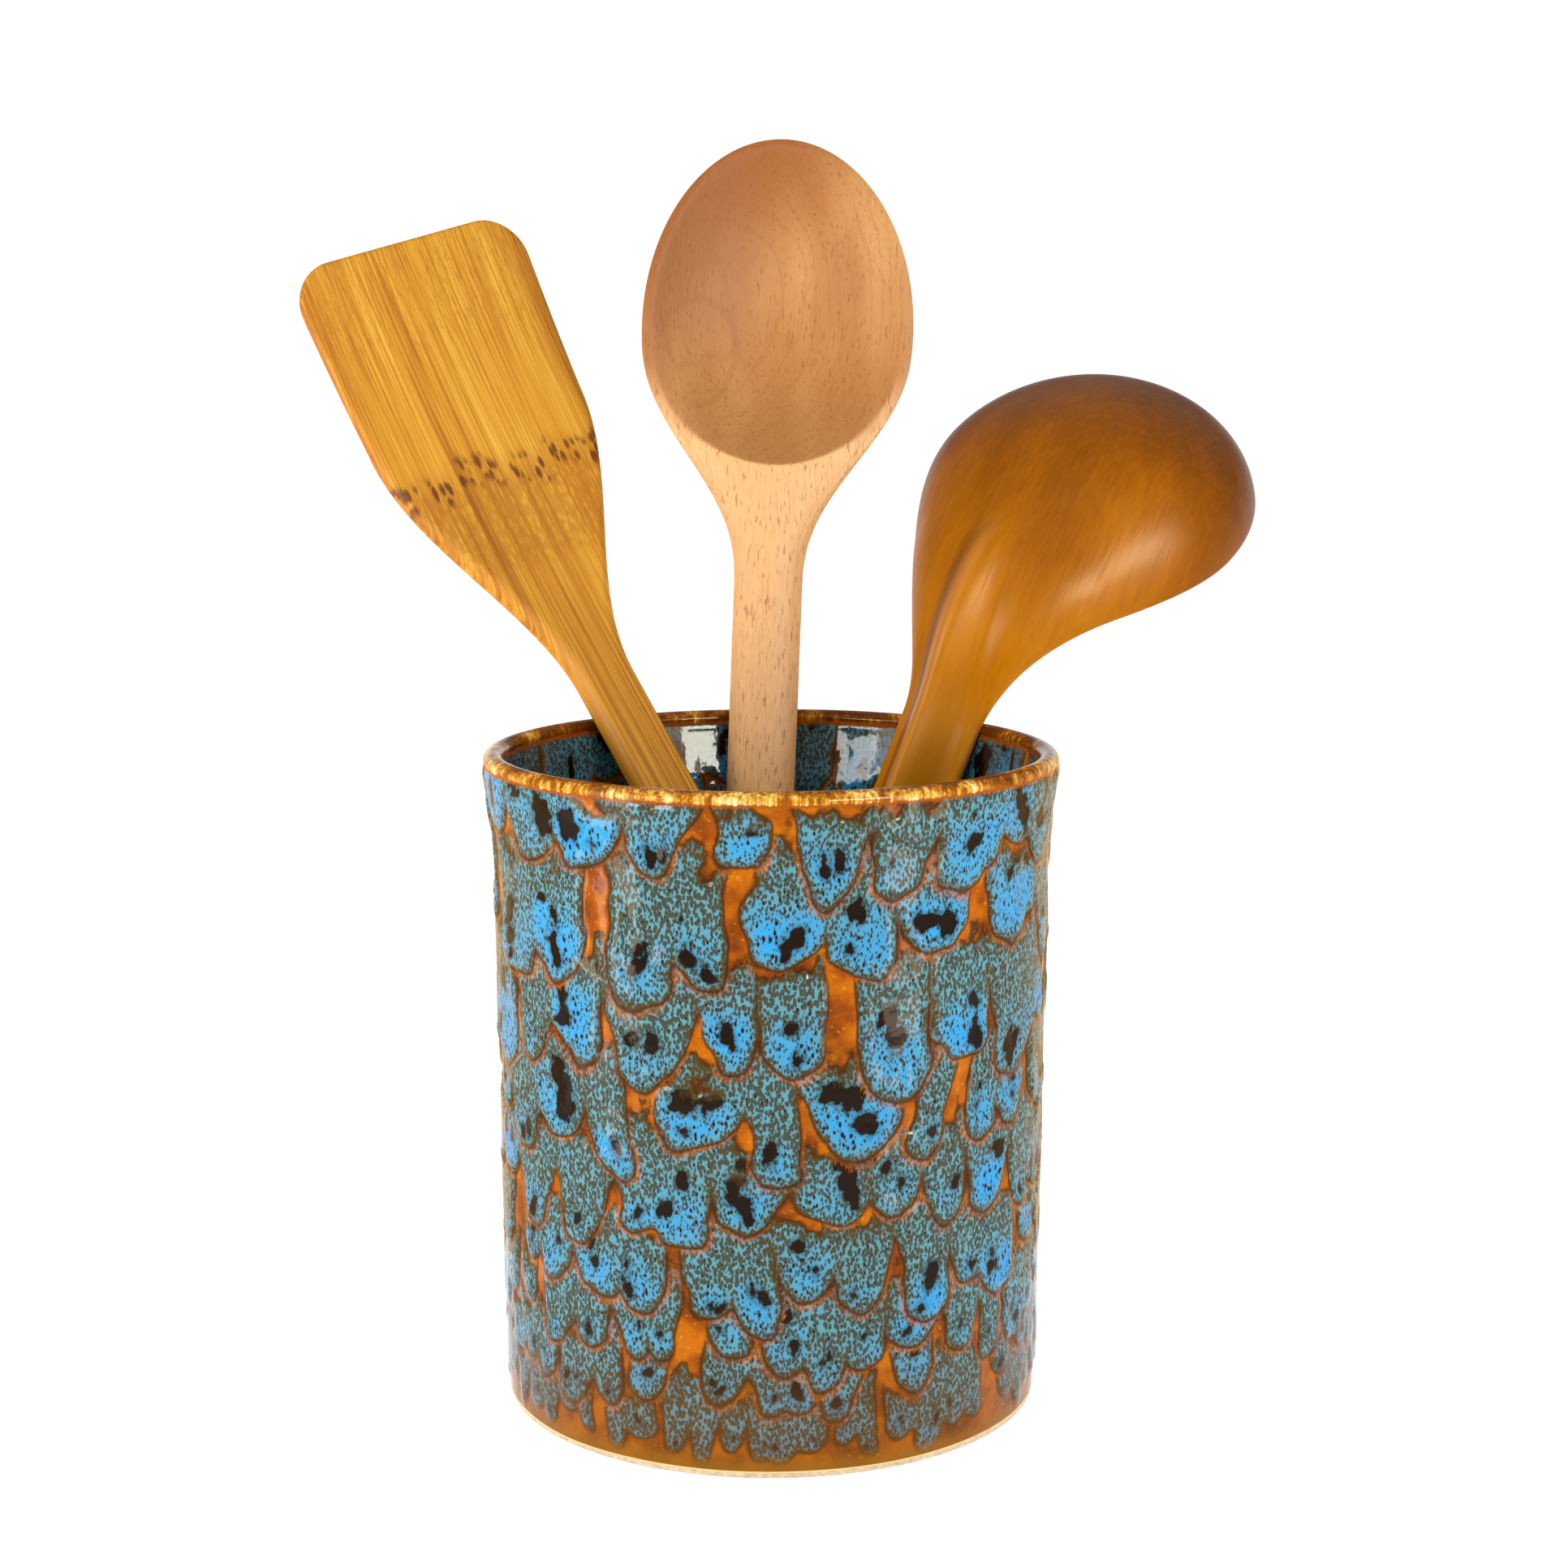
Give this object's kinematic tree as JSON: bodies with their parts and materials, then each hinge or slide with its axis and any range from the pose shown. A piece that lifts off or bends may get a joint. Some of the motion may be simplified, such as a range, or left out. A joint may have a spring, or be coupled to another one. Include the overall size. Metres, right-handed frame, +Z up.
{
  "type": "utensil crock",
  "caption": "Round glazed stoneware crock with a flared lip and a foot ring, holding a wooden spatula, a spoon and a ladle that lift out.",
  "frame": {"origin": "centre of the crock's foot ring, on the table", "axes": "+Z up along the crock's axis, -Y towards the viewer of the picture, +X to the viewer's right"},
  "size_m": [0.2492, 0.181, 0.3093],
  "materials": {
    "glazed_stoneware": "gloss drip glaze",
    "bamboo": "oiled",
    "beech": "plain",
    "stained_wood": "satin stain"
  },
  "bodies": {
    "crock": {"stoneware_crock": "glazed_stoneware"},
    "spatula": {"spatula": "bamboo"},
    "spoon": {"spoon": "beech"},
    "ladle": {"ladle": "stained_wood"}
  },
  "joints": [
    {"name": "spatula_lift", "type": "slide", "parent": "crock", "child": "spatula", "axis": [-0.4761, 0.3433, 0.8096], "range_m": [0, 0.2]},
    {"name": "spoon_lift", "type": "slide", "parent": "crock", "child": "spoon", "axis": [0.0377, 0.075, 0.9965], "range_m": [0, 0.165]},
    {"name": "ladle_lift", "type": "slide", "parent": "crock", "child": "ladle", "axis": [0.3508, 0.0886, 0.9323], "range_m": [0, 0.175]}
  ]
}
